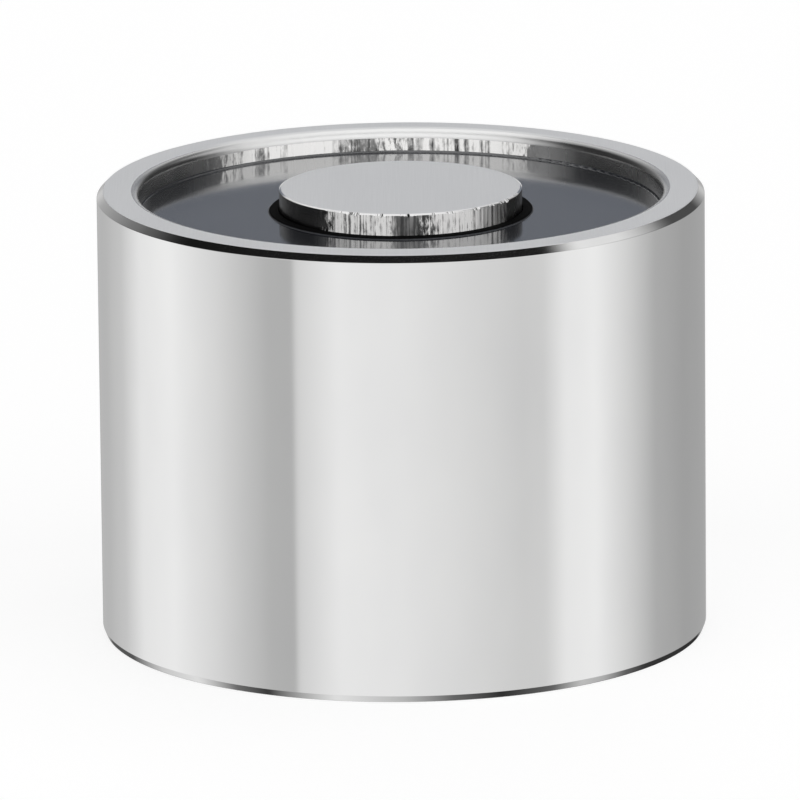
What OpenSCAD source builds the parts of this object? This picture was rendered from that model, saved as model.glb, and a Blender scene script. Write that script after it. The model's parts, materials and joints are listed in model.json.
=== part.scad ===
// Holding electromagnet: a turned steel cup with a pressed-in pole, a potted coil and a base thread.
// The origin is the centre of the underside, +Z runs up the axis and +Y points to the lead exit.
// All lengths are in millimetres, and angles are in degrees.

/* [Body] */
// Outside diameter of the steel cup
body_d = 60; // [54:0.5:80]
// Height from the underside to the holding face
body_h = 44.5; // [38:0.5:70]
// Thickness of the round side wall
wall_t = 4.2; // [3:0.1:6]
// Thickness of the base
base_t = 7; // [5:0.5:10]
// Chamfer round the upper outer edge
edge_chamfer = 0.65; // [0.3:0.05:1.2]
// Width of the steep chamfer round the lower outer edge, measured across the underside
base_chamfer_w = 0.25; // [0.15:0.05:0.8]
// Height of the steep chamfer up the side
base_chamfer_h = 0.65; // [0.3:0.05:1.2]
// Radius of the rounded inner edge of the rim
rim_round = 0.8; // [0.3:0.1:1.2]

/* [Pole] */
// Diameter of the pole
pole_d = 24; // [20:0.5:28]
// Chamfer round the pole face
pole_chamfer = 0.1; // [0.05:0.05:0.8]
// Diameter of the spigot that is pressed into the base
spigot_d = 14; // [13:0.5:18]
// Chamfer on the spigot's end and on the edge of its hole
spigot_chamfer = 0.3; // [0.1:0.1:0.6]

/* [Mounting thread] */
// Nominal diameter of the thread
thread_d = 8; // [6:1:10]
// Pitch of the thread
thread_pitch = 1.25; // [0.75:0.25:1.5]
// Depth of the thread
thread_depth = 14; // [10:1:18]
// How far the tapping drill runs past the thread
drill_extra = 4; // [2:0.5:6]
// Gap between the hole's wall and a screw of the nominal diameter
thread_gap = 0.05; // [0.03:0.01:0.1]
// How much wider than the screw the countersunk mouth is
mouth_extra = 0.8; // [0.4:0.1:1]

/* [Potting] */
// Depth of the potting's surface below the holding face
potting_drop = 2.3; // [1.5:0.1:4]
// Radius of the curve that the potting makes up the wall
wall_meniscus = 0.2; // [0.1:0.05:0.6]

/* [Coil] */
// Gap between the pole and the bobbin's tube
bobbin_gap = 0.1; // [0.05:0.05:0.3]
// Wall thickness of the bobbin's tube
tube_t = 0.9; // [0.6:0.1:1.5]
// Thickness of each bobbin flange
flange_t = 1.2; // [0.9:0.1:2]
// Gap between the bobbin's flanges and the side wall
flange_gap = 0.8; // [0.4:0.1:1.2]
// Depth of potting over the upper flange
flange_cover = 1.5; // [0.8:0.1:3]
// Height of the bobbin's collar above the potting
collar_proud = 0.2; // [0.1:0.05:0.6]
// Diameter of the enamelled wire
wire_d = 0.55; // [0.4:0.05:0.8]
// Thickness of the tape round the winding
tape_t = 0.25; // [0.15:0.05:0.5]

/* [Lead splices] */
// Outside diameter of the sleeve on each splice
sleeve_d = 1.7; // [1.4:0.1:2.5]
// Diameter of the soldered joint inside a sleeve
joint_d = 0.9; // [0.6:0.1:1.1]
// Length of a sleeve
splice_l = 14; // [8:1:18]
// Length of joint that stands out of the sleeve and meets the wire
joint_bare = 1; // [0.8:0.1:1.1]
// Angle between each splice and the lead exit
splice_angle = 18; // [16:1:60]
// Gap between a splice and what is beside it
splice_gap = 0.15; // [0.1:0.05:0.5]

/* [Lead exit] */
// Diameter of the hole in the side wall
exit_d = 6; // [5:0.5:8]
// Height of the exit's axis above the lower bobbin flange
exit_rise = 5.5; // [5.5:0.5:14]
// Wall thickness of the insulating bush
bush_t = 1.1; // [0.8:0.1:1.5]
// Width of the bush's inner flange outside its barrel
bush_flange_w = 1; // [0.5:0.1:1.2]
// Thickness of the bush's inner flange
bush_flange_t = 0.8; // [0.5:0.1:1.2]
// Depth of the bush's end below the outside of the cup
bush_sink = 0.3; // [0.1:0.1:1]
// Countersink at the outer end of the bush and of its hole
exit_chamfer = 0.4; // [0.2:0.1:0.6]

/* [Hidden] */
$fn = 96;

// Radii of the turned parts
body_r = body_d / 2;
cavity_r = body_r - wall_t;
pole_r = pole_d / 2;
spigot_r = spigot_d / 2;

// Tapped hole: a plain wall at the thread's outer diameter, then the tapping drill's own hole and point
minor_ratio = 1.0825;
drill_point = 118;
thread_r = thread_d / 2 + thread_gap;
thread_mouth_r = (thread_d + mouth_extra) / 2;
thread_mouth_depth = thread_mouth_r - thread_r;
drill_r = (thread_d - minor_ratio * thread_pitch) / 2;
drill_depth = thread_depth + drill_extra;
drill_point_h = drill_r / tan(drill_point / 2);

// Levels of the coil, from the base up to the potting
potting_z = body_h - potting_drop;
collar_z = potting_z + collar_proud;
upper_flange_z = potting_z - flange_cover - flange_t;
winding_z = base_t + flange_t;

// Radii of the coil, from the pole out to the wall
bobbin_bore_r = pole_r + bobbin_gap;
tube_r = bobbin_bore_r + tube_t;
flange_r = cavity_r - flange_gap;
splice_r = cavity_r - splice_gap - sleeve_d / 2;
tape_r = splice_r - sleeve_d / 2 - splice_gap;
winding_r = tape_r - tape_t;
collar_edge = collar_proud / 2;
collar_meniscus = collar_proud / 2;

// Wire tails: the slot in the lower flange, the levels of the two tails and of the splices
tail_slot_w = joint_d + 2 * splice_gap;
tail_slot_r = tube_r + wire_d;
start_tail_z = winding_z - 0.4 * wire_d;
splice_z = start_tail_z + joint_bare / 2;
splice_top_z = splice_z + splice_l;
finish_tail_z = splice_top_z + joint_bare / 2;
exit_azimuth = 90;
start_azimuth = exit_azimuth + splice_angle;
finish_azimuth = exit_azimuth - splice_angle;

// Lead exit: heights and radii, with enough reach for a cutter to pass right through the wall
exit_z = winding_z + exit_rise;
exit_r = exit_d / 2;
bush_bore_r = exit_r - bush_t;
bush_flange_r = exit_r + bush_flange_w;
bush_inner_r = cavity_r - bush_flange_t;
bush_outer_r = body_r - bush_sink;
cutter_reach = body_r + wall_t;

// Turns children about the axis, so that their +X points outwards at an azimuth
module at_azimuth(angle) {
    rotate([0, 0, angle]) children();
}

// Cylinder along +Y at the height of the lead exit
module exit_cylinder(radius, reach) {
    translate([0, 0, exit_z]) rotate([-90, 0, 0]) cylinder(r = radius, h = reach);
}

// Cone that opens towards +Y and ends on the round surface of radius end_r
module exit_countersink(radius, end_r) {
    translate([0, end_r - exit_chamfer, exit_z])
        rotate([-90, 0, 0])
            cylinder(r1 = radius, r2 = radius + 2 * exit_chamfer, h = 2 * exit_chamfer);
}

// Ring about the axis between two radii and two levels
module ring(inner_r, outer_r, low_z, high_z) {
    rotate_extrude() translate([inner_r, low_z]) square([outer_r - inner_r, high_z - low_z]);
}

// Corner between a square of side size and the quarter circle that rounds it
module round_corner(size, centre) {
    difference() {
        square(size);
        translate(centre) circle(size);
    }
}

// Turned cup

module cup_section() {
    difference() {
        polygon([
            [0, 0],
            [body_r - base_chamfer_w, 0],
            [body_r, base_chamfer_h],
            [body_r, body_h - edge_chamfer],
            [body_r - edge_chamfer, body_h],
            [0, body_h]
        ]);
        translate([0, base_t]) square([cavity_r, body_h]);
        polygon([
            [0, -base_t],
            [spigot_r + spigot_chamfer, -base_t],
            [spigot_r + spigot_chamfer, 0],
            [spigot_r, spigot_chamfer],
            [spigot_r, 2 * base_t],
            [0, 2 * base_t]
        ]);
        translate([cavity_r, body_h - rim_round]) round_corner(rim_round, [rim_round, 0]);
    }
}

module housing_cup() {
    color("gainsboro") difference() {
        rotate_extrude() cup_section();
        exit_cylinder(exit_r, cutter_reach);
        exit_countersink(exit_r, body_r);
    }
}

// Pole with its spigot and tapped hole

module pole_core() {
    color("silver") rotate_extrude() polygon([
        [0, body_h],
        [pole_r - pole_chamfer, body_h],
        [pole_r, body_h - pole_chamfer],
        [pole_r, base_t],
        [spigot_r, base_t],
        [spigot_r, spigot_chamfer],
        [spigot_r - spigot_chamfer, 0],
        [thread_mouth_r, 0],
        [thread_r, thread_mouth_depth],
        [thread_r, thread_depth],
        [drill_r, thread_depth],
        [drill_r, drill_depth],
        [0, drill_depth + drill_point_h]
    ]);
}

// Bobbin: a flanged tube whose upper collar shows round the pole

module bobbin_section() {
    polygon([
        [bobbin_bore_r, base_t],
        [flange_r, base_t],
        [flange_r, winding_z],
        [tube_r, winding_z],
        [tube_r, upper_flange_z],
        [flange_r, upper_flange_z],
        [flange_r, upper_flange_z + flange_t],
        [tube_r, upper_flange_z + flange_t],
        [tube_r, collar_z - collar_edge],
        [tube_r - collar_edge, collar_z],
        [bobbin_bore_r, collar_z]
    ]);
}

// Radial slot in the lower flange, where the inner end of the wire comes out
module tail_slot() {
    at_azimuth(start_azimuth)
        translate([tail_slot_r, -tail_slot_w / 2, base_t])
            cube([flange_r, tail_slot_w, flange_t]);
}

module coil_bobbin() {
    color("#1c1c1e") difference() {
        rotate_extrude() bobbin_section();
        tail_slot();
    }
}

// Winding: one solid for all its turns, and the two tails that reach the splices

// Straight wire that runs out from the winding to the middle of a splice
module radial_wire(azimuth, from_r, z) {
    at_azimuth(azimuth)
        translate([from_r, 0, z])
            rotate([0, 90, 0])
                cylinder(d = wire_d, h = splice_r - from_r);
}

// Inner end of the wire, in the lower flange's slot
module start_tail() {
    radial_wire(start_azimuth, tail_slot_r + wire_d / 2, start_tail_z);
}

// Outer end of the wire, through the tape
module finish_tail() {
    radial_wire(finish_azimuth, winding_r - wire_d, finish_tail_z);
}

module coil_winding() {
    color("#b5682f") {
        ring(tube_r, winding_r, winding_z, upper_flange_z);
        difference() {
            start_tail();
            start_joint();
        }
        difference() {
            finish_tail();
            finish_joint();
        }
    }
}

module winding_tape() {
    color("#d8b23a") difference() {
        ring(winding_r, tape_r, winding_z, upper_flange_z);
        start_tail();
        finish_tail();
    }
}

// Splices: soldered joints in sleeves that stand between the tape and the wall

module splice_cylinder(azimuth, diameter, low_z, high_z) {
    at_azimuth(azimuth) translate([splice_r, 0, low_z]) cylinder(d = diameter, h = high_z - low_z);
}

module start_joint() {
    color("lightgray") splice_cylinder(start_azimuth, joint_d, splice_z - joint_bare, splice_top_z);
}

module start_sleeve() {
    color("firebrick") difference() {
        splice_cylinder(start_azimuth, sleeve_d, splice_z, splice_top_z);
        start_joint();
    }
}

module finish_joint() {
    color("lightgray") splice_cylinder(finish_azimuth, joint_d, splice_z, splice_top_z + joint_bare);
}

module finish_sleeve() {
    color("#222222") difference() {
        splice_cylinder(finish_azimuth, sleeve_d, splice_z, splice_top_z);
        finish_joint();
    }
}

// Bush in the lead exit: a barrel in the wall's hole and a curved flange against the inside of the wall

module bush_plug() {
    intersection() {
        exit_cylinder(exit_r, cutter_reach);
        ring(bush_inner_r, bush_outer_r, base_t, body_h);
    }
    intersection() {
        exit_cylinder(bush_flange_r, cutter_reach);
        ring(bush_inner_r, cavity_r, base_t, body_h);
    }
}

module lead_bush() {
    color("#2a2a2c") difference() {
        bush_plug();
        exit_cylinder(bush_bore_r, cutter_reach);
        exit_countersink(bush_bore_r, bush_outer_r);
    }
}

// Potting: what is left of the cavity once the coil, the splices and the bush are in

module potting_section() {
    difference() {
        translate([tube_r, base_t]) square([cavity_r - tube_r, potting_z - base_t]);
        translate([0, base_t]) square([flange_r, flange_t]);
        translate([0, upper_flange_z]) square([flange_r, flange_t]);
        translate([0, base_t]) square([tape_r, upper_flange_z + flange_t - base_t]);
    }
    translate([cavity_r - wall_meniscus, potting_z]) round_corner(wall_meniscus, [0, wall_meniscus]);
    translate([tube_r, potting_z]) round_corner(collar_meniscus, [collar_meniscus, collar_meniscus]);
}

module potting_compound() {
    color("#15161a") difference() {
        union() {
            rotate_extrude() potting_section();
            intersection() {
                tail_slot();
                ring(tube_r, flange_r, base_t, winding_z);
            }
        }
        start_tail();
        finish_tail();
        start_joint();
        finish_joint();
        splice_cylinder(start_azimuth, sleeve_d, splice_z, splice_top_z);
        splice_cylinder(finish_azimuth, sleeve_d, splice_z, splice_top_z);
        bush_plug();
    }
}

housing_cup();
pole_core();
coil_bobbin();
coil_winding();
winding_tape();
start_joint();
start_sleeve();
finish_joint();
finish_sleeve();
potting_compound();
lead_bush();
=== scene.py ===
import json
import math

import bmesh
import bpy
from mathutils import Matrix, Vector, noise


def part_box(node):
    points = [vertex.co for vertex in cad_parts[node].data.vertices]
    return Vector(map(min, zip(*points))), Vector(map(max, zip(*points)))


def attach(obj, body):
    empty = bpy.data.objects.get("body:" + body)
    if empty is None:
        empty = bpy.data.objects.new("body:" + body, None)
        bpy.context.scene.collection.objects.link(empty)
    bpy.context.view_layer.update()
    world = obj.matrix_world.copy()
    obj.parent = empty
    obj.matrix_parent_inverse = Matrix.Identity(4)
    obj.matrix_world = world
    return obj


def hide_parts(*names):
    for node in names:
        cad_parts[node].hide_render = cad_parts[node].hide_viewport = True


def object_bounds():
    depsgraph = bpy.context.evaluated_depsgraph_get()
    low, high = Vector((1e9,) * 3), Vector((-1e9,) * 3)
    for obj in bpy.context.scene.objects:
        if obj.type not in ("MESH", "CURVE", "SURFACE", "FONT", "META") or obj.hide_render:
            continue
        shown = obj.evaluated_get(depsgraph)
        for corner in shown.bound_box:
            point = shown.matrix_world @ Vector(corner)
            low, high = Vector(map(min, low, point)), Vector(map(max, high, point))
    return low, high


# Looks of a holding electromagnet: a polished steel cup with a ground rim, a central pole and a potted coil.
# Lengths are in metres, in the part's own frame: +Z is up the axis and +Y points to the lead exit.

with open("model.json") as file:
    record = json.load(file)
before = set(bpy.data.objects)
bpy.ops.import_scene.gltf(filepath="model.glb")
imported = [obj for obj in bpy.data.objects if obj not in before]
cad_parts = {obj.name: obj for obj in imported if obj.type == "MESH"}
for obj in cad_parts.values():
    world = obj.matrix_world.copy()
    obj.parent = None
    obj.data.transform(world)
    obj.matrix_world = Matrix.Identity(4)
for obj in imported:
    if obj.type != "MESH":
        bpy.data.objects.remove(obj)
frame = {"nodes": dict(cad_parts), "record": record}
cad_low, cad_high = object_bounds()
nodes = frame["nodes"]
MM = 0.001

# Sizes that the frame gives

body_h = cad_high.z
body_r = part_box("housing_cup")[1].y
pole_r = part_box("pole_core")[1].y
cavity_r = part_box("potting_compound")[1].y
bobbin_low, bobbin_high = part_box("coil_bobbin")
base_t = bobbin_low.z
collar_z = bobbin_high.z
mounts = {mount["name"]: mount for mount in frame["record"]["mounts"]}
thread_r = mounts["base_thread"]["dims"]["r_mm"] * MM
exit_centre = Vector(mounts["lead_exit"]["pos_m"])

# Sizes of the turned steel that the frame's boxes don't give

COLLAR_T = 1.0 * MM  # bobbin's collar, with its gap to the pole
EDGE_CHAMFER = 0.65 * MM
BASE_CHAMFER_W = 0.25 * MM
BASE_CHAMFER_H = 0.65 * MM
EDGE_SOFTENING = 0.06 * MM
RIM_SOFTENING = 0.09 * MM
RIM_ROUND = 0.8 * MM
SUPPORT = 0.015 * MM  # from the end of a round to the point that keeps its neighbour true
WELD = 0.001 * MM
POLE_EDGE_W = 0.2 * MM
POLE_EDGE_H = 0.08 * MM
SPIGOT_R = 7.0 * MM
SPIGOT_CHAMFER = 0.3 * MM
EXIT_R = 3.0 * MM
EXIT_CHAMFER = 0.4 * MM
THREAD_MOUTH_R = 4.4 * MM
THREAD_DEPTH = 14.0 * MM
THREAD_PITCH = 1.25 * MM
DRILL_R = 3.3234 * MM
DRILL_DEPTH = 18.0 * MM
DRILL_TIP = 2.0 * MM
collar_r = pole_r + COLLAR_T

# Smoothness of the round forms

CUP_SEGMENTS = 480
POLE_SEGMENTS = 900
EXIT_SEGMENTS = 96
ROUND_STEPS = 12
SMALL_STEPS = 4
SHARP_ANGLE = math.radians(38)

# Sectors with a finish of their own, and sectors of painted highlight and painted shade

# Each gives the side that it faces along Y, then its start and end in degrees from there towards +X
# Painted highlight at the back of the rim
RIM_HIGHLIGHT = (1, -42, 33)
# Streaked sector of the wall; beside it the wall's colour is painted shade
TORN_WALL = (1, -45, 30)
# Strip of painted shade on the wall
WALL_SHADE_STRIP = (1, -13, -3)
# Streaked sector of the pole; beside it the pole's colour is painted shade
TORN_POLE = (-1, -37, 60)
# Strip of painted shade on the pole
POLE_SHADE_STRIP = (-1, -4, 13)
# Sector of small tears at the pole's top edge
TORN_POLE_EDGE = (-1, -38, 75)
SHORT_FADE = 4
LONG_FADE = 12
JITTER = 0.4  # radians

# Extent of the other finishes, and of the rim's painted highlight and painted shade

RIM_HIGHLIGHT_MARGIN = (1.1 * MM, 0.2 * MM)  # end of the rim's painted highlight margin, and where it starts to fade
ROUND_SHADE_DEPTHS = (0.45, 0.25)  # depths on the rim's round where its painted shade turns from dark to light
COLLAR_CREEP = (0.05 * MM, 0.15 * MM)  # from the collar to dull resin and to glossy resin
WALL_CREEP = (0.03 * MM, 0.07 * MM)  # from the wall to dull resin and to glossy resin
RAGGED_CREEP = 0.1 * MM
RESIN_IOR = 1.75


# Meshes

def corner_arc(before, corner, after, radius, steps):
    """Points of the round that replaces a corner of an outline."""
    to_before = (before - corner).normalized()
    to_after = (after - corner).normalized()
    half = to_before.angle(to_after) / 2
    reach = radius / math.tan(half)
    centre = corner + (to_before + to_after).normalized() * (radius / math.sin(half))
    start = (corner + to_before * reach - centre).normalized()
    end = (corner + to_after * reach - centre).normalized()
    return [centre + radius * start.slerp(end, i / steps) for i in range(steps + 1)]


def soften(outline):
    """Turns a closed outline of (r, z, round, finish) corners into (point, finish) pairs, with its rounds.
    A support point close to each end of a round keeps the faces beside it true under smooth shading."""
    points = []
    for i, (r, z, radius, finish) in enumerate(outline):
        corner = Vector((r, z))
        before = Vector(outline[i - 1][:2])
        after = Vector(outline[(i + 1) % len(outline)][:2])
        if radius:
            steps = ROUND_STEPS if radius > RIM_SOFTENING else SMALL_STEPS
            arc = corner_arc(before, corner, after, radius, steps)
            points.append((arc[0] + (before - corner).normalized() * SUPPORT, outline[i - 1][3]))
            points += [(point, finish) for point in arc]
            points.append((arc[-1] + (after - corner).normalized() * SUPPORT, finish))
        else:
            points.append((corner, finish))
    return points


def lathe(name, outline, segments, finishes, shift=None):
    """Revolves a closed outline about Z. A point's finish is that of the face from it to the next point.
    shift(r, z, angle) may move a point, for a surface that isn't quite round."""
    points = soften(outline)
    mesh = bmesh.new()
    rings = []
    for point, _ in points:
        if point.x < WELD:
            rings.append([mesh.verts.new((0, 0, point.y))] * segments)
            continue
        ring = []
        for s in range(segments):
            angle = 2 * math.pi * s / segments
            r, z = shift(point.x, point.y, angle) if shift else point
            ring.append(mesh.verts.new((r * math.cos(angle), r * math.sin(angle), z)))
        rings.append(ring)
    for i, (_, finish) in enumerate(points):
        ring, following = rings[i], rings[(i + 1) % len(rings)]
        for s in range(segments):
            t = (s + 1) % segments
            corners = list(dict.fromkeys((ring[s], ring[t], following[t], following[s])))
            if len(corners) > 2:
                mesh.faces.new(corners).material_index = finishes.index(finish)
    bmesh.ops.recalc_face_normals(mesh, faces=mesh.faces)
    return mesh_object(name, mesh)


def mesh_object(name, mesh):
    """Object with a smooth-shaded mesh made from a bmesh."""
    data = bpy.data.meshes.new(name)
    mesh.to_mesh(data)
    mesh.free()
    data.shade_smooth()
    piece = bpy.data.objects.new(name, data)
    bpy.context.scene.collection.objects.link(piece)
    return piece


def weld(data):
    """Joins points that all but coincide and drops the slivers between them."""
    mesh = bmesh.new()
    mesh.from_mesh(data)
    bmesh.ops.remove_doubles(mesh, verts=mesh.verts, dist=WELD)
    bmesh.ops.dissolve_degenerate(mesh, edges=mesh.edges, dist=WELD)
    mesh.to_mesh(data)
    mesh.free()


def dress(piece, materials):
    """Gives a piece its materials, in slot order."""
    slots = piece.data.materials
    for i, material in enumerate(materials):
        if i < len(slots):
            slots[i] = material
        else:
            slots.append(material)


# Node helpers

def new_material(name, metallic=1.0):
    """Node material with its tree and its Principled shader."""
    material = bpy.data.materials.new(name)
    material.use_nodes = True
    shader = material.node_tree.nodes["Principled BSDF"]
    shader.inputs["Metallic"].default_value = metallic
    return material, material.node_tree, shader


def add(tree, kind, settings=None, **inputs):
    """Adds a node. settings are its own properties. inputs are its sockets, by name with _ for a space,
    or by number after an i."""
    node = tree.nodes.new("ShaderNode" + kind)
    for key, value in (settings or {}).items():
        setattr(node, key, value)
    for key, value in inputs.items():
        socket = node.inputs[int(key[1:]) if key[0] == "i" and key[1:].isdigit() else key.replace("_", " ")]
        if isinstance(value, bpy.types.NodeSocket):
            tree.links.new(value, socket)
        else:
            socket.default_value = value
    return node


def math_node(tree, operation, *values):
    """Output of a Math node."""
    node = add(tree, "Math", {"operation": operation})
    for socket, value in zip(node.inputs, values):
        if isinstance(value, bpy.types.NodeSocket):
            tree.links.new(value, socket)
        else:
            socket.default_value = value
    return node.outputs[0]


def step_between(tree, value, low, high):
    """Smooth step of a value from 0 at low to 1 at high."""
    node = add(tree, "MapRange", {"interpolation_type": "SMOOTHSTEP"}, Value=value)
    node.inputs["From Min"].default_value = low
    node.inputs["From Max"].default_value = high
    return node.outputs["Result"]


def stretched_noise(tree, scale, detail=4.0, roughness=0.6):
    """Noise over the object's own coordinates, with its own scale along each axis, in cycles a metre."""
    stretch = add(tree, "Mapping", Vector=object_place(tree), Scale=scale).outputs["Vector"]
    grain = add(tree, "TexNoise", Vector=stretch, Scale=1.0, Detail=detail, Roughness=roughness)
    return grain.outputs["Fac"]


def ranged(tree, value, low, high, from_low=0.3, from_high=0.7):
    """A noise's middle range mapped to the range from low to high."""
    node = add(tree, "MapRange", Value=value)
    node.inputs["From Min"].default_value = from_low
    node.inputs["From Max"].default_value = from_high
    node.inputs["To Min"].default_value = low
    node.inputs["To Max"].default_value = high
    return node.outputs["Result"]


def grey_range(tree, value, dark, light):
    """Colour between two colours, driven by a noise."""
    ramp = add(tree, "ValToRGB", Fac=value)
    ramp.color_ramp.elements[0].position = 0.3
    ramp.color_ramp.elements[0].color = (*dark, 1)
    ramp.color_ramp.elements[1].position = 0.7
    ramp.color_ramp.elements[1].color = (*light, 1)
    return ramp.outputs["Color"]


def bump_normal(tree, height, depth):
    """Normal of a bump with a real depth in metres."""
    return add(tree, "Bump", Height=height, Distance=depth).outputs["Normal"]


def bump(tree, shader, height, depth):
    """Gives a shader a bump with a real depth in metres."""
    tree.links.new(bump_normal(tree, height, depth), shader.inputs["Normal"])


def blend_levels(tree, factor, first, second):
    """Mix of two colours or levels by a factor."""
    node = add(tree, "Mix", {"data_type": "RGBA"})
    for socket, value in ((node.inputs[0], factor), (node.inputs[6], first), (node.inputs[7], second)):
        if isinstance(value, bpy.types.NodeSocket):
            tree.links.new(value, socket)
        elif isinstance(value, tuple):
            socket.default_value = (*value, 1)
        else:
            socket.default_value = (value, value, value, 1)
    return node.outputs[2]


def object_place(tree):
    """Place of a surface point in the part's own frame."""
    return add(tree, "TexCoord").outputs["Object"]


def axis_distance(tree):
    """Distance of a surface point from the part's axis."""
    x, y, _ = add(tree, "SeparateXYZ", Vector=object_place(tree)).outputs
    squares = math_node(tree, "MULTIPLY_ADD", x, x, math_node(tree, "MULTIPLY", y, y))
    return math_node(tree, "SQRT", squares)


def sector(tree, facing, start, end, jitter, fade=SHORT_FADE):
    """1 inside a sector and 0 elsewhere, with an edge that is soft by the fade and ragged by the jitter."""
    x, y, _ = add(tree, "SeparateXYZ", Vector=object_place(tree)).outputs
    angle = math_node(tree, "ARCTAN2", x, math_node(tree, "MULTIPLY", y, facing))
    angle = math_node(tree, "MULTIPLY_ADD", math_node(tree, "SUBTRACT", jitter, 0.5), JITTER, angle)
    edge = math.radians(fade)
    opening = step_between(tree, angle, math.radians(start) - edge, math.radians(start) + edge)
    closing = step_between(tree, angle, math.radians(end) + edge, math.radians(end) - edge)
    return math_node(tree, "MULTIPLY", opening, closing)


def lifted_normal(tree, shader, normal, lift):
    """Gives a shader a normal that is turned up by a lift."""
    up = add(tree, "CombineXYZ", Z=lift).outputs["Vector"]
    lifted = add(tree, "VectorMath", {"operation": "ADD"}, i0=normal, i1=up).outputs["Vector"]
    turned = add(tree, "VectorMath", {"operation": "NORMALIZE"}, i0=lifted).outputs["Vector"]
    tree.links.new(turned, shader.inputs["Normal"])


# Materials

def polished_nickel(name, rough_low, rough_high):
    """Outside of the cup: nickel plate over a fine turned finish, with faint polishing marks."""
    material, tree, shader = new_material(name)
    lay = stretched_noise(tree, (60, 60, 9000))
    haze = stretched_noise(tree, (90, 90, 40), detail=3)
    colour = grey_range(tree, haze, (0.80, 0.80, 0.80), (0.84, 0.84, 0.835))
    tree.links.new(colour, shader.inputs["Base Color"])
    tree.links.new(ranged(tree, haze, rough_low, rough_high), shader.inputs["Roughness"])
    bump(tree, shader, lay, 0.1e-6)
    return material


def ground_steel():
    """Holding faces: ground flat in one pass, so the grinding lines run one way across rim and pole.
    At the back a painted highlight beside the rim's inner edge reaches a little way onto the face."""
    material, tree, shader = new_material("ground_steel")
    lines = stretched_noise(tree, (7000, 90, 90))
    patches = stretched_noise(tree, (160, 90, 90), detail=2)
    colour = grey_range(tree, lines, (0.75, 0.755, 0.765), (0.785, 0.79, 0.80))
    radius = axis_distance(tree)
    # Painted highlight: at the back, the face beside the rim's inner edge is made almost white
    rim = step_between(tree, radius, cavity_r - MM, cavity_r)
    margin_end, fade_start = RIM_HIGHLIGHT_MARGIN
    flat_r = cavity_r + RIM_ROUND
    margin = step_between(tree, radius, flat_r + margin_end, flat_r + fade_start)
    bright = sector(tree, *RIM_HIGHLIGHT, patches, LONG_FADE)
    rim_highlight = math_node(tree, "MULTIPLY", math_node(tree, "MULTIPLY", rim, margin), bright)
    colour = blend_levels(tree, rim_highlight, colour, (0.97, 0.97, 0.97))
    tree.links.new(colour, shader.inputs["Base Color"])
    tree.links.new(ranged(tree, patches, 0.40, 0.46), shader.inputs["Roughness"])
    bump(tree, shader, lines, 0.3e-6)
    return material


def drawn_steel(name, streak_scale, shares, spread, smooth, colours, lifts, torn, shade_strip):
    """Pole side and inner wall: smooth and of a plain dark colour that is painted shade, but for a torn
    sector with upright streaks left by the tool. The flanks of the streaks face up by a lift, so some catch
    the light of the room and some the dark resin; their colour also goes from dark to bright with the lift,
    as painted shade and painted highlight on the real streaks.
    shares: how much of the pattern the fine streaks, the broad bands and the small tears make.
    spread: the range of the pattern that goes from dark to bright.
    smooth, colours: the colour beside the torn sector, which is painted shade, and the darkest and brightest
    ones in it.
    lifts: the least and the most lift.
    shade_strip: a sector where the streaks are darker, as painted shade."""
    material, tree, shader = new_material(name)
    streaks = stretched_noise(tree, (streak_scale, streak_scale, streak_scale * 0.015), 4, 0.65)
    bands = stretched_noise(tree, (260, 260, 8), 2, 0.5)
    tears = stretched_noise(tree, (2600, 2600, 900), 5)
    mixed = math_node(tree, "MULTIPLY", streaks, shares[0])
    mixed = math_node(tree, "MULTIPLY_ADD", bands, shares[1], mixed)
    mixed = math_node(tree, "MULTIPLY_ADD", tears, shares[2], mixed)
    contrast = ranged(tree, mixed, 0.0, 1.0, *spread)
    # Painted shade: a strip where the streaks are darker and lifted less
    painted_shade = math_node(tree, "MULTIPLY_ADD", sector(tree, *shade_strip, tears), -0.6, 1.0)
    contrast = math_node(tree, "MULTIPLY", contrast, painted_shade)
    rough_part = sector(tree, *torn, tears)
    contrast = math_node(tree, "MULTIPLY", contrast, rough_part)
    # Beside the torn sector the colour is painted shade; in it the streak colours follow the lift, as
    # painted highlight and painted shade
    colour = blend_levels(tree, rough_part, smooth, grey_range(tree, contrast, *colours))
    tree.links.new(colour, shader.inputs["Base Color"])
    tree.links.new(ranged(tree, bands, 0.2, 0.3), shader.inputs["Roughness"])
    relief = math_node(tree, "MULTIPLY_ADD", tears, 0.5, streaks)
    lift = ranged(tree, contrast, *lifts, 0.1, 0.9)
    lifted_normal(tree, shader, bump_normal(tree, relief, 12e-6), lift)
    return material


def painted_light_round():
    """Inner edge of the rim: a painted highlight at the back, and painted shade round the rest that is
    darker deeper down.
    """
    material, tree, shader = new_material("rim_round_painted_light")
    haze = stretched_noise(tree, (120, 120, 60), detail=3)
    # Painted highlight in the back sector, and painted shade that darkens the round deeper down
    bright = sector(tree, *RIM_HIGHLIGHT, haze, LONG_FADE)
    z = add(tree, "SeparateXYZ", Vector=object_place(tree)).outputs["Z"]
    dark_z, light_z = (body_h - depth * RIM_ROUND for depth in ROUND_SHADE_DEPTHS)
    painted_shade = ranged(tree, z, 0.32, 0.55, dark_z, light_z)
    colour = blend_levels(tree, bright, painted_shade, (0.95, 0.95, 0.945))
    tree.links.new(colour, shader.inputs["Base Color"])
    tree.links.new(ranged(tree, bright, 0.26, 0.42, 0, 1), shader.inputs["Roughness"])
    lay = stretched_noise(tree, (60, 60, 9000))
    lift = ranged(tree, bright, 0.04, 0.16, 0, 1)
    lifted_normal(tree, shader, bump_normal(tree, lay, 0.3e-6), lift)
    return material


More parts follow.
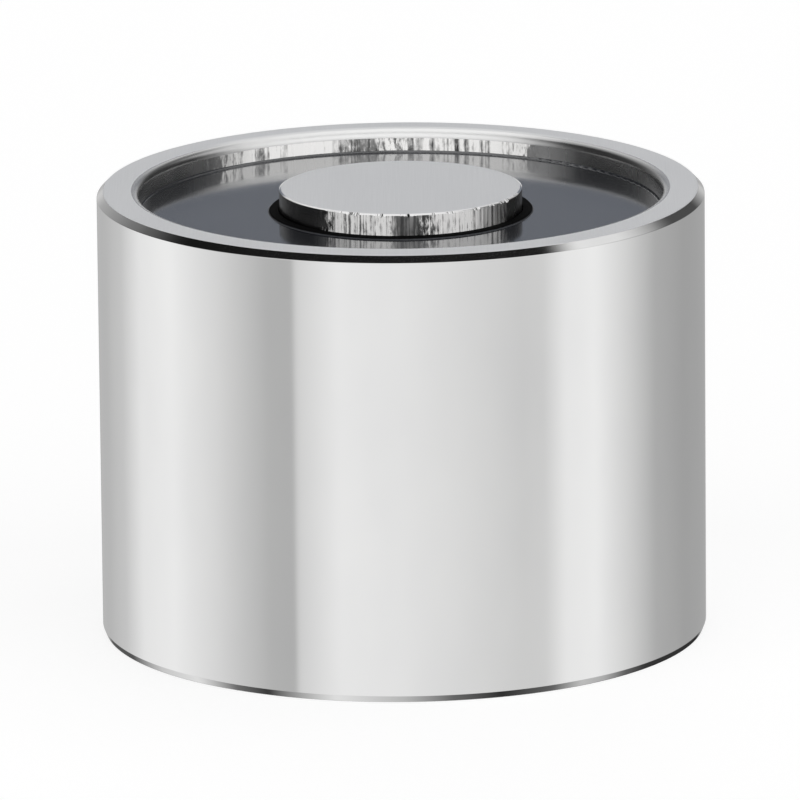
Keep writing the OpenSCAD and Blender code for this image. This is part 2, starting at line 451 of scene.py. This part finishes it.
def faced_steel():
    """Underside: plated over the fine rings that facing leaves."""
    material, tree, shader = new_material("faced_steel")
    round_axis = {"wave_type": "RINGS", "rings_direction": "Z"}
    place = object_place(tree)
    wave = add(tree, "TexWave", round_axis, Vector=place, Scale=900.0, Distortion=0.6, Detail=2.0)
    rings = wave.outputs["Fac"]
    haze = stretched_noise(tree, (140, 140, 140), detail=3)
    colour = grey_range(tree, haze, (0.66, 0.66, 0.655), (0.74, 0.74, 0.735))
    tree.links.new(colour, shader.inputs["Base Color"])
    tree.links.new(ranged(tree, haze, 0.2, 0.3), shader.inputs["Roughness"])
    bump(tree, shader, rings, 5e-6)
    return material


def dark_steel():
    """Bore and thread: bare steel with traces of cutting oil."""
    material, tree, shader = new_material("dark_steel")
    stain = stretched_noise(tree, (900, 900, 900))
    colour = grey_range(tree, stain, (0.22, 0.215, 0.21), (0.4, 0.395, 0.385))
    tree.links.new(colour, shader.inputs["Base Color"])
    tree.links.new(ranged(tree, stain, 0.3, 0.45), shader.inputs["Roughness"])
    bump(tree, shader, stain, 4e-6)
    return material


def glossy_resin():
    """Potting: black resin with a glossy, very slightly wavy skin and a few fine specks."""
    material, tree, shader = new_material("glossy_resin", metallic=0.0)
    shader.inputs["IOR"].default_value = RESIN_IOR
    shader.inputs["Coat IOR"].default_value = RESIN_IOR
    shader.inputs["Coat Roughness"].default_value = 0.1
    waves = stretched_noise(tree, (120, 120, 120), detail=1.5)
    specks = stretched_noise(tree, (5200, 5200, 5200), detail=2)
    colour = grey_range(tree, waves, (0.010, 0.012, 0.017), (0.016, 0.019, 0.026))
    tree.links.new(colour, shader.inputs["Base Color"])
    # Where the resin creeps up the collar and the sides of the wall it stays dull
    creep = stretched_noise(tree, (700, 700, 700))
    ragged = math_node(tree, "MULTIPLY_ADD", creep, 2 * RAGGED_CREEP, -RAGGED_CREEP)
    radius = axis_distance(tree)
    inner = step_between(tree, radius, *(collar_r + width for width in COLLAR_CREEP))
    edge = math_node(tree, "ADD", radius, ragged)
    outer = step_between(tree, edge, *(cavity_r - width for width in WALL_CREEP))
    outer = math_node(tree, "MAXIMUM", outer, sector(tree, *TORN_WALL, creep))
    gloss = math_node(tree, "MULTIPLY", inner, outer)
    roughness = math_node(tree, "MULTIPLY_ADD", gloss, -0.6, ranged(tree, specks, 0.7, 0.75))
    tree.links.new(gloss, shader.inputs["Coat Weight"])
    tree.links.new(roughness, shader.inputs["Roughness"])
    bump(tree, shader, waves, 25e-6)
    return material


def moulded_black(name, grain_scale, level, rough_low, rough_high):
    """Moulded black plastic or rubber with a fine grain."""
    material, tree, shader = new_material(name, metallic=0.0)
    shader.inputs["Specular IOR Level"].default_value = level
    grain = stretched_noise(tree, (grain_scale,) * 3)
    colour = grey_range(tree, grain, (0.0015, 0.0015, 0.0015), (0.005, 0.005, 0.0055))
    tree.links.new(colour, shader.inputs["Base Color"])
    tree.links.new(ranged(tree, grain, rough_low, rough_high), shader.inputs["Roughness"])
    bump(tree, shader, grain, 6e-6)
    return material


def inner_material(name, dark, light, metallic, rough):
    """Coil pieces, which the resin hides."""
    material, tree, shader = new_material(name, metallic)
    grain = stretched_noise(tree, (500, 500, 2400))
    tree.links.new(grey_range(tree, grain, dark, light), shader.inputs["Base Color"])
    tree.links.new(ranged(tree, grain, rough * 0.8, rough * 1.2), shader.inputs["Roughness"])
    bump(tree, shader, grain, 12e-6)
    return material


nickel = polished_nickel("polished_nickel", 0.07, 0.1)
bright_edge = polished_nickel("bright_edge", 0.05, 0.08)
round_material = painted_light_round()
ground = ground_steel()
wall_steel = drawn_steel(
    "turned_wall",
    streak_scale=1500,
    shares=(0.4, 0.4, 0.2),
    spread=(0.34, 0.56),
    # painted shade beside the torn sector
    smooth=(0.46, 0.46, 0.46),
    colours=((0.22, 0.22, 0.22), (0.9, 0.895, 0.885)),
    lifts=(0.04, 0.36),
    torn=TORN_WALL,
    shade_strip=WALL_SHADE_STRIP,
)
pole_side = drawn_steel(
    "pole_side",
    streak_scale=4200,
    shares=(0.5, 0.2, 0.3),
    spread=(0.35, 0.58),
    # painted shade beside the torn sector
    smooth=(0.18, 0.18, 0.18),
    colours=((0.18, 0.18, 0.18), (0.72, 0.715, 0.71)),
    lifts=(0.02, 0.33),
    torn=TORN_POLE,
    shade_strip=POLE_SHADE_STRIP,
)
faced = faced_steel()
bore_steel = dark_steel()
resin = glossy_resin()
nylon = moulded_black("bobbin_nylon", 3000, 0.03, 0.7, 0.85)
rubber = moulded_black("bush_rubber", 2200, 0.4, 0.5, 0.65)
copper = inner_material("enamelled_wire", (0.36, 0.12, 0.04), (0.62, 0.25, 0.09), 0.9, 0.3)
tape = inner_material("polyester_tape", (0.62, 0.38, 0.03), (0.78, 0.52, 0.06), 0.0, 0.25)
solder = inner_material("solder", (0.5, 0.5, 0.5), (0.7, 0.7, 0.7), 1.0, 0.4)
red_sleeve = inner_material("red_sleeve", (0.4, 0.02, 0.02), (0.55, 0.04, 0.035), 0.0, 0.5)
black_sleeve = inner_material("black_sleeve", (0.012, 0.012, 0.012), (0.025, 0.025, 0.025), 0.0, 0.5)


# Cup: replaces the CAD cup with the same form, its edges softened

def cut_exit(cup):
    """Bores the lead exit through the wall, with its countersink."""
    inner_end = cavity_r - 2 * MM
    outline = [
        (0, inner_end, 0, "side"),
        (EXIT_R, inner_end, 0, "side"),
        (EXIT_R, body_r - EXIT_CHAMFER, 0, "side"),
        (EXIT_R + 2 * EXIT_CHAMFER, body_r + EXIT_CHAMFER, 0, "side"),
        (0, body_r + EXIT_CHAMFER, 0, "side"),
    ]
    cutter = lathe("exit_cutter", outline, EXIT_SEGMENTS, CUP_FINISHES)
    along_y = Matrix.Rotation(-math.pi / 2, 4, "X")
    cutter.matrix_world = Matrix.Translation((0, 0, exit_centre.z)) @ along_y
    boolean = cup.modifiers.new("lead exit", "BOOLEAN")
    boolean.object = cutter
    boolean.solver = "EXACT"
    graph = bpy.context.evaluated_depsgraph_get()
    bored = bpy.data.meshes.new_from_object(cup.evaluated_get(graph))
    cup.modifiers.remove(boolean)
    cup.data = bored
    bpy.data.objects.remove(cutter)
    weld(bored)


CUP_FINISHES = ["side", "edge", "ground", "round", "wall", "faced"]
cup_outline = [
    (SPIGOT_R + SPIGOT_CHAMFER, 0, EDGE_SOFTENING, "faced"),
    (body_r - BASE_CHAMFER_W, 0, EDGE_SOFTENING, "edge"),
    (body_r, BASE_CHAMFER_H, EDGE_SOFTENING, "side"),
    (body_r, body_h - EDGE_CHAMFER, EDGE_SOFTENING, "edge"),
    (body_r - EDGE_CHAMFER, body_h, RIM_SOFTENING, "ground"),
    (cavity_r, body_h, RIM_ROUND, "round"),
    (cavity_r, body_h - RIM_ROUND - 2 * SUPPORT, 0, "wall"),
    (cavity_r, base_t, 0, "wall"),
    (SPIGOT_R, base_t, 0, "faced"),
    (SPIGOT_R, SPIGOT_CHAMFER, 0, "faced"),
]
cup = lathe("cup_body", cup_outline, CUP_SEGMENTS, CUP_FINISHES)
dress(cup, [nickel, bright_edge, ground, round_material, wall_steel, faced])
cut_exit(cup)
cup.data.set_sharp_from_angle(angle=SHARP_ANGLE)
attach(cup, "root")
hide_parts("housing_cup")


# Pole: replaces the CAD core, with the ragged edge and the tool streaks of its side

SIDE_RINGS = 14
STREAK_DEPTH = 0.015 * MM
STREAK_FREQUENCY = 90
STREAK_CHANGE = 30  # how fast the streaks change up the side
EDGE_TEAR = 0.25 * MM
TEAR_FREQUENCIES = (9, 42)
LEAST_TEAR = 0.15


def rough(around, frequency, shift=0.0):
    """Fractal noise round the pole, held between -1 and 1."""
    value = noise.fractal(around * frequency + Vector((0, 0, shift)), 0.5, 2.2, 5)
    return max(-1.0, min(1.0, value))


def edge_tear(around):
    """Depth of the small tears at the top edge, which only one sector has."""
    facing, start, end = TORN_POLE_EDGE
    if not start < math.degrees(math.atan2(around.x, facing * around.y)) < end:
        return 0.0
    coarse, fine = TEAR_FREQUENCIES
    return EDGE_TEAR * max(LEAST_TEAR, rough(around, coarse) + 0.5 * rough(around, fine, 5))


def ragged_side(r, z, angle):
    """Moves a point of the pole's side by the streaks, and one of its top edge by small tears."""
    if z < collar_z or r < pole_r - 1.1 * POLE_EDGE_W:
        return r, z
    around = Vector((math.cos(angle), math.sin(angle), 0))
    tear = edge_tear(around)
    if z > body_h - WELD:
        return r - 0.5 * tear, z
    r -= STREAK_DEPTH * (1 + rough(around, STREAK_FREQUENCY, z * STREAK_CHANGE))
    if z > body_h - 1.1 * POLE_EDGE_H:
        z -= tear
    return r, z


POLE_FINISHES = ["ground", "edge", "drawn", "faced", "bore"]
side_top = body_h - POLE_EDGE_H
side_low = collar_z - MM
pole_outline = [
    (0, body_h, 0, "ground"),
    (pole_r - 2.5 * POLE_EDGE_W, body_h, 0, "ground"),
    (pole_r - POLE_EDGE_W, body_h, 0, "edge"),
]
pole_outline += [
    (pole_r, side_top + (side_low - side_top) * i / SIDE_RINGS, 0, "drawn") for i in range(SIDE_RINGS + 1)
]
pole_outline += [
    (pole_r, base_t, 0, "faced"),
    (SPIGOT_R, base_t, 0, "faced"),
    (SPIGOT_R, SPIGOT_CHAMFER, 0, "faced"),
    (SPIGOT_R - SPIGOT_CHAMFER, 0, EDGE_SOFTENING, "faced"),
    (THREAD_MOUTH_R, 0, EDGE_SOFTENING, "bore"),
    (thread_r, THREAD_MOUTH_R - thread_r, 0, "bore"),
    (thread_r, THREAD_DEPTH, 0, "bore"),
    (DRILL_R, THREAD_DEPTH, 0, "bore"),
    (DRILL_R, DRILL_DEPTH, 0, "bore"),
    (0, DRILL_DEPTH + DRILL_TIP, 0, "bore"),
]
pole = lathe("pole_body", pole_outline, POLE_SEGMENTS, POLE_FINISHES, ragged_side)
pole.data.set_sharp_from_angle(angle=SHARP_ANGLE)
dress(pole, [ground, bright_edge, pole_side, faced, bore_steel])
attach(pole, "root")
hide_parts("pole_core")


# Thread in the base

STEPS_A_TURN = 96
LEAST_RIDGE = 0.02  # share of the ridge's height that its ends keep


def helical_thread():
    """Ridge of the internal thread, from the mouth to its full depth, fading out at both ends."""
    start = THREAD_MOUTH_R - thread_r
    turns = (THREAD_DEPTH - start) / THREAD_PITCH - 1
    count = int(turns * STEPS_A_TURN)
    foot = THREAD_PITCH * 7 / 16
    crest = THREAD_PITCH / 8
    section = [(thread_r, -foot), (DRILL_R, -crest), (DRILL_R, crest), (thread_r, foot)]
    mesh = bmesh.new()
    rings = []
    for i in range(count + 1):
        turn = i / STEPS_A_TURN
        angle = 2 * math.pi * turn
        left = (count - i) / STEPS_A_TURN
        height = max(LEAST_RIDGE, min(1.0, turn, 2 * left))
        ring = []
        for r, dz in section:
            r = thread_r + (r - thread_r) * height
            z = start + THREAD_PITCH / 2 + THREAD_PITCH * turn + dz
            ring.append(mesh.verts.new((r * math.cos(angle), r * math.sin(angle), z)))
        rings.append(ring)
    for ring, following in zip(rings, rings[1:]):
        for k in range(len(section)):
            m = (k + 1) % len(section)
            mesh.faces.new((ring[k], ring[m], following[m], following[k]))
    mesh.faces.new(rings[0])
    mesh.faces.new(reversed(rings[-1]))
    bmesh.ops.recalc_face_normals(mesh, faces=mesh.faces)
    return mesh_object("base_thread", mesh)


thread = helical_thread()
thread.data.set_sharp_from_angle(angle=SHARP_ANGLE)
dress(thread, [bore_steel])
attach(thread, "root")


# CAD pieces that keep their own meshes

for node, material in {
    "potting_compound": resin,
    "coil_bobbin": nylon,
    "lead_bush": rubber,
    "coil_winding": copper,
    "winding_tape": tape,
    "start_joint": solder,
    "finish_joint": solder,
    "start_sleeve": red_sleeve,
    "finish_sleeve": black_sleeve,
}.items():
    dress(nodes[node], [material])


# Floor: white to the camera, with the object's faint shadow

FLOOR_SIZE = 6.0
FLOOR_DROP = 0.02 * MM
FLOOR_GREY = (0.8, 0.8, 0.8, 1)  # as it lights the object
FLOOR_MATT = (0.34, 0.34, 0.34, 1)  # as the camera sees it, together with its own white
FLOOR_WHITE = 0.76
WHITE = (1, 1, 1, 1)


def pale_floor():
    """Plain white floor. The camera sees mostly its own white, so only a soft shadow is left on it."""
    bpy.ops.mesh.primitive_plane_add(size=FLOOR_SIZE)
    floor = bpy.context.object
    floor.name = "floor"
    material = bpy.data.materials.new("pale_floor")
    material.use_nodes = True
    tree = material.node_tree
    tree.nodes.clear()
    seen = add(tree, "LightPath").outputs["Is Camera Ray"]
    matt = add(tree, "BsdfDiffuse", Color=FLOOR_MATT).outputs["BSDF"]
    white = add(tree, "Emission", Color=WHITE, Strength=FLOOR_WHITE).outputs["Emission"]
    lit = add(tree, "AddShader", i0=matt, i1=white).outputs["Shader"]
    plain = add(tree, "BsdfDiffuse", Color=FLOOR_GREY).outputs["BSDF"]
    mixed = add(tree, "MixShader", Fac=seen, i1=plain, i2=lit).outputs["Shader"]
    add(tree, "OutputMaterial", Surface=mixed)
    floor.data.materials.append(material)
    floor.visible_glossy = False
    floor.location.z = -FLOOR_DROP


pale_floor()


# Studio round the object, as soft bands of light

# Azimuth 0 is the camera's side and 90 is +X. A height is the sine of an elevation.
# Each list of bands gives (azimuth in degrees, level).

# Table level, which the upright side mirrors
TABLE_BANDS = [
    (-180, 0.475), (-152, 0.53), (-133, 0.66), (-118, 0.93), (-98, 1.00), (-75, 0.80), (-52, 0.53),
    (-42, 0.51), (-40.5, 0.76), (-24, 0.97), (0, 0.92), (46, 0.71), (55, 0.73), (64, 0.95),
    (78, 1.00), (92, 0.80), (112, 0.49), (134, 0.41), (167, 0.41), (180, 0.475),
]
# Under the table's edge, which the lower chamfer mirrors
SKIRT_BANDS = [
    (-180, 0.10), (-158, 0.10), (-145, 0.10), (-125, 0.68), (-105, 0.88), (-86, 0.18), (-70, 0.04),
    (-52, 0.50), (-36, 0.90), (0, 0.56), (25, 0.16), (50, 0.03), (76, 0.14), (90, 0.62),
    (101, 0.50), (112, 0.14), (124, 0.04), (168, 0.03), (180, 0.10),
]
# Room, a little above the horizon
ROOM_BANDS = [
    (-180, 0.85), (-168, 0.75), (-158, 0.45), (-144, 0.30), (-130, 0.10), (-86, 0.05), (-64, 0.85),
    (0, 0.95), (70, 0.90), (86, 0.35), (98, 0.08), (152, 0.08), (168, 0.75), (180, 0.85),
]
# Room, well above the horizon
UPPER_BANDS = [
    (-180, 1.0), (-166, 0.90), (-150, 0.60), (-140, 0.32), (-131, 0.13), (-120, 0.06), (-86, 0.06),
    (-62, 0.95), (0, 1.0), (100, 0.85), (117, 0.85), (124, 0.62), (132, 0.28), (142, 0.12),
    (150, 0.12), (168, 0.90), (180, 1.0),
]
OVERHEAD = 1.0
NADIR = 0.7

# Heights between which one level gives way to the next
SKIRT_START = (-0.44, -0.50)
NADIR_START = (-0.87, -0.93)
ROOM_START = (-0.10, 0.04)
UPPER_START = (0.42, 0.54)
OVERHEAD_START = (0.72, 0.86)

# The skirt starts higher at the back
SKIRT_RISE = 0.15
SKIRT_RISE_START = (math.radians(112), math.radians(142))

# Dark band across the back of the room, which the resin mirrors
BACK_BAND = (0.20, 0.215, 0.247)
BACK_BAND_START = (math.radians(155), math.radians(166))
BACK_BAND_FOOT = (0.13, 0.18)
BACK_BAND_TOP = (0.36, 0.30)

# Narrow curved black flag overhead, which the front of the upper chamfer mirrors.
# Its path gives the y of a direction as a polynomial of its height.
FLAG_LEVEL = 0.01
FLAG_PATH = (0.97, -0.25, -1.031)
FLAG_EDGE = (0.16, 0.09)
FLAG_FOOT = (0.3, 0.45)
FLAG_LEFT_END = (math.radians(-130), math.radians(-114))
FLAG_RIGHT_END = (math.radians(105), math.radians(91))


def band_ramp(tree, turn, bands):
    """Colour ramp round the horizon, from a list of azimuths and levels."""
    ramp = add(tree, "ValToRGB", Fac=turn)
    elements = ramp.color_ramp.elements
    for i, (azimuth, level) in enumerate(bands):
        place = azimuth / 360 + 0.5
        element = elements[i] if i < 2 else elements.new(place)
        element.position = place
        element.color = (level, level, level, 1)
    return ramp.outputs["Color"]


def black_flag(tree, azimuth, y, z):
    """1 inside the flag and 0 elsewhere."""
    middle, slope, curve = FLAG_PATH
    path = math_node(tree, "MULTIPLY_ADD", math_node(tree, "MULTIPLY", z, z), curve, middle)
    path = math_node(tree, "MULTIPLY_ADD", z, slope, path)
    off_path = math_node(tree, "ABSOLUTE", math_node(tree, "SUBTRACT", y, path))
    across = step_between(tree, off_path, *FLAG_EDGE)
    left_end = step_between(tree, azimuth, *FLAG_LEFT_END)
    right_end = step_between(tree, azimuth, *FLAG_RIGHT_END)
    flag = math_node(tree, "MULTIPLY", math_node(tree, "MULTIPLY", left_end, right_end), across)
    return math_node(tree, "MULTIPLY", flag, step_between(tree, z, *FLAG_FOOT))


def studio_level(tree):
    """Level of the studio in each direction."""
    direction = add(tree, "TexCoord").outputs["Generated"]
    x, y, z = add(tree, "SeparateXYZ", Vector=direction).outputs
    azimuth = math_node(tree, "ARCTAN2", x, math_node(tree, "MULTIPLY", y, -1.0))
    turn = math_node(tree, "MULTIPLY_ADD", azimuth, 1 / (2 * math.pi), 0.5)
    table = band_ramp(tree, turn, TABLE_BANDS)
    skirt = band_ramp(tree, turn, SKIRT_BANDS)
    room = band_ramp(tree, turn, ROOM_BANDS)
    upper = band_ramp(tree, turn, UPPER_BANDS)
    from_front = math_node(tree, "ABSOLUTE", azimuth)
    rise = step_between(tree, from_front, *SKIRT_RISE_START)
    skirt_z = math_node(tree, "MULTIPLY_ADD", rise, -SKIRT_RISE, z)
    level = blend_levels(tree, step_between(tree, skirt_z, *SKIRT_START), table, skirt)
    level = blend_levels(tree, step_between(tree, z, *NADIR_START), level, NADIR)
    level = blend_levels(tree, step_between(tree, z, *ROOM_START), level, room)
    level = blend_levels(tree, step_between(tree, z, *UPPER_START), level, upper)
    level = blend_levels(tree, step_between(tree, z, *OVERHEAD_START), level, OVERHEAD)
    behind = step_between(tree, from_front, *BACK_BAND_START)
    foot = step_between(tree, z, *BACK_BAND_FOOT)
    top = step_between(tree, z, *BACK_BAND_TOP)
    band = math_node(tree, "MULTIPLY", behind, math_node(tree, "MULTIPLY", foot, top))
    level = blend_levels(tree, band, level, BACK_BAND)
    return blend_levels(tree, black_flag(tree, azimuth, y, z), level, FLAG_LEVEL)


def studio():
    """World: white for the camera, and soft studio bands for everything that lights or mirrors."""
    world = bpy.data.worlds.new("studio")
    bpy.context.scene.world = world
    world.use_nodes = True
    tree = world.node_tree
    tree.nodes.clear()
    light = add(tree, "Background", Color=studio_level(tree), Strength=1.0).outputs["Background"]
    white = add(tree, "Background", Color=WHITE, Strength=1.0).outputs["Background"]
    paths = add(tree, "LightPath").outputs
    seen = math_node(tree, "MAXIMUM", paths["Is Camera Ray"], paths["Is Transmission Ray"])
    both = add(tree, "MixShader", Fac=seen, i1=light, i2=white).outputs["Shader"]
    add(tree, "OutputWorld", Surface=both)


studio()


# Camera at the photograph's view: the image is 800 by 800 pixels

FOCAL_PIXELS = 12108
IMAGE_PIXELS = 800
SENSOR_MM = 36.0
CAMERA_ELEVATION = math.radians(13.96)
CAMERA_DISTANCE = 1200 * MM
CAMERA_ROLL = math.radians(-0.54)
CENTRE_PIXELS = (402.6, 406.1)
CLIP_END = 20.0


def photo_camera():
    """Long-lens camera on the -Y side, looking at the middle of the object."""
    camera_data = bpy.data.cameras.new("camera")
    camera_data.sensor_width = SENSOR_MM
    camera_data.lens = FOCAL_PIXELS / IMAGE_PIXELS * SENSOR_MM
    camera_data.shift_x = (IMAGE_PIXELS / 2 - CENTRE_PIXELS[0]) / IMAGE_PIXELS
    camera_data.shift_y = (CENTRE_PIXELS[1] - IMAGE_PIXELS / 2) / IMAGE_PIXELS
    camera_data.clip_end = CLIP_END
    camera = bpy.data.objects.new("camera", camera_data)
    bpy.context.scene.collection.objects.link(camera)
    back = Vector((0, -math.cos(CAMERA_ELEVATION), math.sin(CAMERA_ELEVATION)))
    camera.location = Vector((0, 0, body_h / 2)) + back * CAMERA_DISTANCE
    aim = (-back).to_track_quat("-Z", "Y").to_matrix() @ Matrix.Rotation(CAMERA_ROLL, 3, "Z")
    camera.rotation_euler = aim.to_euler()
    bpy.context.scene.camera = camera


photo_camera()
bpy.context.scene.view_settings.view_transform = "Standard"
